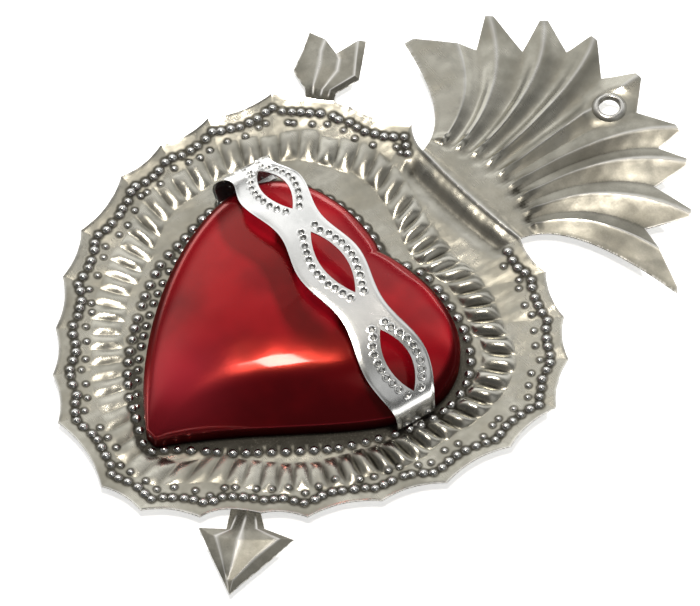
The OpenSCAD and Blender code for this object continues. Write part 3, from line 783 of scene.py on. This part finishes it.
def tab(name, corners, fine, seed):
    g = folded(corners, fine, seed)
    n, m = g.shape[:2]
    j = np.arange(m) / fine
    crest = 0.7 * bump(j - np.round(j), 0, 0.09) * ((np.round(j) > 0) & (np.round(j) < 4))
    worn_and_highlit = np.broadcast_to(crest, (n, m)) * smooth(np.arange(n) / fine, 0.2, 0.6)[:, None]
    neck = 0.45 * (1 - smooth(np.arange(n) / fine, 0.4, 1.6))[:, None]
    parts = [
        (g, np.clip(0.4 + neck + hollows(g, 4, 0.5), 0, 1), worn_and_highlit),
        (lowered(g), 0.25),
        (rim(g[:, 0]), *cut_edge_shade_and_highlight),
        (rim(g[-1]), *cut_edge_shade_and_highlight),
        (rim(g[::-1, -1]), *cut_edge_shade_and_highlight),
    ]
    make(name, parts, None, TIN, TAB_CREASE)


tab("arrowhead", HEAD, 12, 8)
tab("feathers", FEATHERS, 12, 9)

# The heart
RIM_Z, TOP_Z = 4.6, 16.0
DOME_C = np.array([1.5, 6])
dome_r = reach(DOME_C)


def blown(points, harmonics=22, scale=38.0):
    """The shape that a film over the heart takes under even pressure: a sum of harmonics fitted to
    a quarter of the squared distance along the outline, less that same quarter."""
    def terms(p):
        d = (p - DOME_C) / scale
        r, a = np.hypot(d[..., 0], d[..., 1]), np.arctan2(d[..., 1], d[..., 0])
        waves = [r**n * f(n * a) for n in range(1, harmonics) for f in (np.cos, np.sin)]
        return np.stack([np.ones(r.shape), *waves], axis=-1), r * r / 4
    fit, level = terms(OUTLINE)
    weights = np.linalg.lstsq(fit, level, rcond=None)[0]
    basis, quarter = terms(points)
    return basis @ weights - quarter


def heart_grid(s, n=480):
    """The heart's face: a blown film over its rim, as a share of its top. The share is raised to a
    power that swells early, and towards the camera's side it turns into a curve that climbs steeply
    and then levels off. Soft sine waves add the unevenness of hand raising."""
    a = np.linspace(0, 360, n + 1)[None, :]
    p = polar(a, dome_r(a) * s[:, None]) + DOME_C
    film = blown(p)
    film = np.clip(film - film[-1:] * s[:, None] ** 8, 0, None)
    x, y = p[..., 0], p[..., 1]
    level = film / film.max()
    steep = level**0.42
    broad = (1 + (0.5 / np.maximum(level, 1e-6)) ** 4) ** -0.25 * (0.76 + 0.24 * level)
    away = p - DOME_C
    distance = np.maximum(np.hypot(away[..., 0], away[..., 1]), 1e-6)
    towards = (away[..., 0] * 0.88 - away[..., 1] * 0.47) / distance
    share = steep + (broad - steep) * smooth(towards, 0.48, 0.92)
    z = RIM_Z + (TOP_Z - RIM_Z) * share / share.max()
    inside = smooth(level, 0.1, 0.5)
    z = z + (0.14 * ripple(x, y, 26, 11) + 0.05 * ripple(x, y, 11, 12)) * inside
    return rows(x, y, np.minimum(z, TOP_Z))


s = 1 - np.linspace(1, 0, 130) ** 1.7
heart = heart_grid(s)
fold_line = heart[-1] + [0, 0, -0.35]
skirt = np.stack([heart[-1], fold_line, heart[-1] * [1, 1, 0] + [0, 0, SHEET]])
rim_x, rim_y = heart[-1, :, 0] - DOME_C[0], heart[-1, :, 1] - DOME_C[1]
near_rim = smooth((0.64 * rim_x - 0.77 * rim_y) / np.hypot(rim_x, rim_y), 0.55, 0.75)
# The lacquer is thin near the tip. A painted highlight runs along the rim on the camera's side, above painted
# shade down the skirt, and painted shade darkens the rest of the rim and skirt.
TIP_Y, TIP_REACH = -35.5, 12
tip_wear = 0.85 * bump(np.hypot(heart[..., 0], heart[..., 1] - TIP_Y), 0, TIP_REACH)
heart_wear_and_highlight = np.maximum(0.8 * bump(s, 1, 0.004)[:, None] * near_rim, tip_wear)
heart_rim_shade = 0.9 * smooth(s, 0.92, 0.96)[:, None] * (1 - near_rim)
skirt_highlight = np.array([[0.5], [0.2], [0.0]]) * near_rim
make("heart", [
    (heart, heart_rim_shade, heart_wear_and_highlight),
    (skirt, np.maximum(heart_rim_shade[-1:], np.array([[0.0], [0.5], [0.9]]) * near_rim), skirt_highlight),
], "heart_shell", LACQUER)

# The band
BAND_MID = np.array([0, 12.8])
BAND_A = -7.4
band_dir = polar(BAND_A, 1)
band_side = polar(BAND_A + 90, 1)
LEFT_END = float(reach(BAND_MID)(BAND_A + 180)) + 5
RIGHT_END = float(reach(BAND_MID)(BAND_A)) + 1.5
FOOT_Z, ARCH_TOP, LEG_TURN, LEG_LEAN = 1.1, 20.35, 3.4, 2.4
EYES = np.array([-47.3, -26.2, 1.4, 31.9])
EYE_LEN = np.array([14.9, 17.5, 20.7, 17.5])
EYE_W, EYE_SIDE = 3.2, 1.0


def arch_path(n):
    """The band's line: the left foot's tab, its leaning leg, and a superellipse arch to the right
    foot, with its corners rounded and its length run from the top."""
    c = np.cos(np.linspace(0, math.pi, 6000))
    u = np.where(c > 0, -LEFT_END * np.abs(c) ** 0.9, RIGHT_END * np.abs(c) ** 0.9)
    end = np.where(u < 0, LEFT_END, RIGHT_END)
    base = np.where(u < 0, FOOT_Z + LEG_TURN, FOOT_Z + 0.8)
    z = base + (ARCH_TOP - base) * np.clip(1 - np.abs(u / end) ** 2.4, 0, 1) ** (1 / 2.4)
    u = np.concatenate([[-(LEFT_END - 4.2), LEG_LEAN - LEFT_END], u])
    z = np.concatenate([[FOOT_Z, FOOT_Z], z])
    run = np.concatenate([[0], np.cumsum(np.hypot(np.diff(u), np.diff(z)))])
    top = run[2 + 3000]
    at = np.linspace(0, run[-1], n)
    u, z = np.interp(at, run, u), np.interp(at, run, z)
    width = max(1, int(0.5 * n / run[-1]))
    kernel = np.ones(2 * width + 1) / (2 * width + 1)
    u = np.convolve(np.pad(u, width, mode="edge"), kernel, "valid")
    z = np.convolve(np.pad(z, width, mode="edge"), kernel, "valid")
    return u, z, at - top


BAND_N = 960
band_u, band_z, band_run = arch_path(BAND_N)


def eye_half(run):
    """Half width of the eye open at a place along the band: a parabola over the eye's length."""
    n = np.abs(run[:, None] - EYES).argmin(1)
    d = np.abs(run - EYES[n]) * 2 / EYE_LEN[n]
    return np.where(run < band_run[0] + 12, 0, EYE_W * np.clip(1 - d * d, 0, 1))


def edge_half(run):
    """Half width of the band: widest at the eyes and narrowest where its strands cross."""
    phase = np.interp(run, EYES, range(4))
    phase = np.where(run > EYES[3], np.minimum(3.5, 3 + (run - EYES[3]) / 28.5), phase)
    return 6.0 + 2.5 * (1 + np.cos(2 * math.pi * phase)) / 2 - 0.6 * smooth(run, 38, 50)


def punch_marks():
    """Places along and across the band of the dents that follow both sides of each eye."""
    marks = []
    for eye, length in zip(EYES, EYE_LEN):
        run = np.arange(eye - length * 0.56, eye + length * 0.56, 2.05)
        for side in (-1, 1):
            d = np.abs(run - eye) * 2 / length
            w = EYE_SIDE + side * (EYE_W * np.clip(1 - d * d, 0, 1) + 1.9)
            marks.append(rows(run, w) + HAND.uniform(-0.2, 0.2, (len(run), 2)))
    return np.concatenate(marks)


MARKS = punch_marks()


def punch(d):
    """A small dent with a raised lip."""
    return -0.5 * np.clip(1 - d * d, 0, 1) + 0.1 * bump(d, 1.15, 0.22)


def strand(side, across=46):
    """One strand: from the eye's edge to the band's, gently crowned and punched, on the arch."""
    eye, edge = eye_half(band_run), edge_half(band_run)
    w = np.linspace(0, 1, across)[None, :]
    w = w if side > 0 else 1 - w
    across_band = EYE_SIDE + side * eye[:, None]
    across_band = across_band * (1 - w) + side * edge[:, None] * w
    run = np.broadcast_to(band_run[:, None], across_band.shape)
    lift = stamped(run, across_band, MARKS, 0.8, punch)
    lift = lift - 0.18 * bump(w, 1, 0.12) + 0.1 * ripple(run, across_band, 13, 14)
    # Painted shade darkens each dent
    dirt_and_shade = stamped(run, across_band, MARKS, 0.8, lambda d: 0.75 * np.clip(1 - d * d, 0, 1) ** 0.5)
    d = rows(np.gradient(band_u), np.gradient(band_z))
    d = d / np.hypot(d[:, 0], d[:, 1])[:, None]
    up = rows(-d[:, 1] * band_dir[0], -d[:, 1] * band_dir[1], d[:, 0])[:, None, :]
    p = BAND_MID + band_dir * band_u[:, None, None] + band_side * across_band[..., None]
    flat = rows(p[..., 0], p[..., 1], band_z[:, None])
    top = flat + up * (lift - 0.12)[..., None]
    under = flat - up * 0.5
    wear_and_highlight = 0.6 * bump(w, 1, 0.03) + 0.6 * bump(w, 0, 0.03) + 0 * across_band
    return top, under, np.clip(dirt_and_shade, 0, 1), wear_and_highlight


strands = []
for side in (1, -1):
    top, under, dirt_and_shade, wear_and_highlight = strand(side)
    # The band's underside is painted a little darker as shade
    strands += [(top, dirt_and_shade, wear_and_highlight), (under[::4][:, ::-5], 0.15)]
    for pair in ((under[:, 0], top[:, 0]), (top[:, -1], under[:, -1])):
        strands.append((np.stack(pair, 1), 0.3, 0.3))
    for pair in ((under[0], top[0]), (top[-1], under[-1])):
        strands.append((np.stack(pair, 0), 0.3, 0.3))
make("band", strands, "crown_band", BRIGHT)

# Camera at the photograph's place: it looks down from the lower right, tilted to a level frame
camera = bpy.data.objects.new("camera", bpy.data.cameras.new("camera"))
bpy.context.scene.collection.objects.link(camera)
bpy.context.scene.camera = camera
bpy.context.scene.view_settings.view_transform = "Standard"
camera.data.lens = 205.7
camera.data.sensor_width = 36
camera.location = Vector((402.6, -313.9, 855.4)) * MM
aim = Vector((4.0, 17.0, 0)) * MM - camera.location
camera.rotation_mode = "QUATERNION"
camera.rotation_quaternion = aim.to_track_quat("-Z", "Y")
camera.data.clip_start, camera.data.clip_end = 0.1, 10

# A white room: bright beyond the object, darker over the camera's shoulder, and an opening at its right
world = bpy.data.worlds.new("studio")
bpy.context.scene.world = world
world.use_nodes = True
web = Web(world.node_tree)
ray = web.add("TexCoord", out="Generated")
height = web.add("VectorMath", {0: ray, 1: (0, 0, 1)}, out="Value", operation="DOT_PRODUCT")
beyond = web.add("VectorMath", {0: ray, 1: (-0.769, 0.639, 0)}, out="Value", operation="DOT_PRODUCT")
aside = web.add("VectorMath", {0: ray, 1: (0.639, 0.769, 0)}, out="Value", operation="DOT_PRODUCT")
raised = web.step(height, 0.15, 0.45) * (1 - 0.62 * web.step(height, 0.6, 0.95))
far = web.step(beyond, 0.0, 0.6)
right = web.step(aside, -0.1, 0.7)
light = 0.09 + (1.15 - 0.3 * right) * far * raised
opening = web.add("VectorMath", {0: ray, 1: (0.68, 0.19, 0.71)}, out="Value", operation="DOT_PRODUCT")
light = light + 0.42 * web.step(opening, 0.88, 0.98)
light = light + web.add("LightPath", out="Is Camera Ray")
grey = web.add("CombineColor", {0: light, 1: light, 2: light})
web.feed(world.node_tree.nodes["Background"], {"Color": grey, "Strength": 1.0})

floor = bpy.data.objects.new("floor", bpy.data.meshes.new("floor"))
floor.data.from_pydata([(-3, -3, 0), (3, -3, 0), (3, 3, 0), (-3, 3, 0)], [], [(0, 1, 2, 3)])
bpy.context.scene.collection.objects.link(floor)
paper = bpy.data.materials.new("white_floor")
paper.use_nodes = True
web = Web(paper.node_tree)
shader = paper.node_tree.nodes["Principled BSDF"]
seen = web.clip(web.add("LightPath", out="Is Camera Ray") + web.add("LightPath", out="Is Glossy Ray"))
glow = seen * 0.6
web.feed(shader, {
    "Base Color": (0.88, 0.88, 0.88),
    "Roughness": 0.9,
    "Emission Color": (1.0, 1.0, 1.0),
    "Emission Strength": glow,
})
floor.data.materials.append(paper)


def lamp(name, place, size, power, colour, mirrored=True):
    """A square soft box at a place, in metres, that faces the object and may show in its metal."""
    light = bpy.data.lights.new(name, "AREA")
    light.energy = power
    light.size = size
    light.color = colour
    holder = bpy.data.objects.new(name, light)
    bpy.context.scene.collection.objects.link(holder)
    holder.location = place
    holder.visible_glossy = mirrored
    holder.rotation_mode = "QUATERNION"
    holder.rotation_quaternion = (-Vector(place)).to_track_quat("-Z", "Y")


lamp("overhead_lamp", (-0.1, 0.03, 0.99), 0.17, 4.6, (1.0, 0.94, 0.86))
lamp("window", (-0.45, 1.06, 0.52), 0.12, 48, (1.0, 1.0, 1.0), False)
